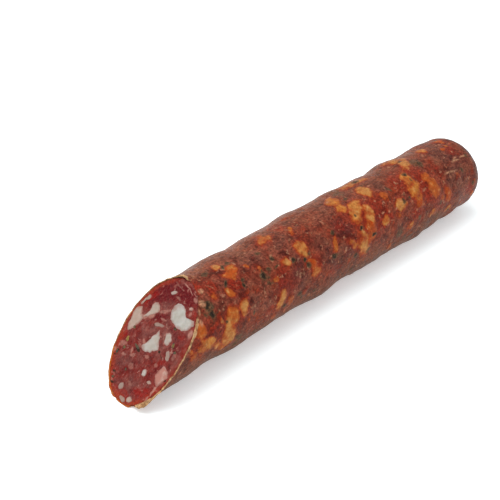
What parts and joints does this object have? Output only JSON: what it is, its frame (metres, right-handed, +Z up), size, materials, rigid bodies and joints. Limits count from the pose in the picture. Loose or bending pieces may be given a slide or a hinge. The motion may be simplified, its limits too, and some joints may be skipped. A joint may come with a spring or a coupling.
{
  "type": "cured sausage",
  "caption": "Dry-cured sausage lying down: a mottled gut casing closed at one end and cut on the slant at the other, showing lean meat, white fat and pepper.",
  "frame": {"origin": "under the middle of the whole sausage, on the surface that it rests on", "axes": "+X along the sausage from the slanted cut to the closed end, +Z up"},
  "size_m": [0.2476, 0.0432, 0.0403],
  "materials": {
    "casing": "satin, mottled with orange fat and dark herbs showing through, dusty bloom on top",
    "lean_meat": "moist cut surface, crimson to mauve brown, redder at the rim",
    "fat": "smooth waxy satin, off-white to pink",
    "pepper": "matt, dark brown to green"
  },
  "bodies": {
    "root": {"casing": "casing", "lean_filling": "lean_meat", "fat_large_upper": "fat", "fat_left_long": "fat", "fat_left_band": "fat", "fat_middle": "fat", "fat_middle_right": "fat", "fat_flake": "fat", "fat_right_small": "fat", "fat_lower_dot": "fat", "fat_pink_right": "fat", "fat_lilac_dot": "fat", "fat_low_left": "fat", "fat_low_right": "fat", "fat_tip": "fat", "fat_top_flake": "fat", "fat_rim_left": "fat", "fat_top_right": "fat", "pepper_grain_1": "pepper", "pepper_grain_2": "pepper", "pepper_grain_3": "pepper", "pepper_grain_4": "pepper", "pepper_grain_5": "pepper", "pepper_grain_6": "pepper", "pepper_grain_7": "pepper", "pepper_grain_8": "pepper", "pepper_grain_9": "pepper", "pepper_grain_10": "pepper"}
  },
  "joints": []
}
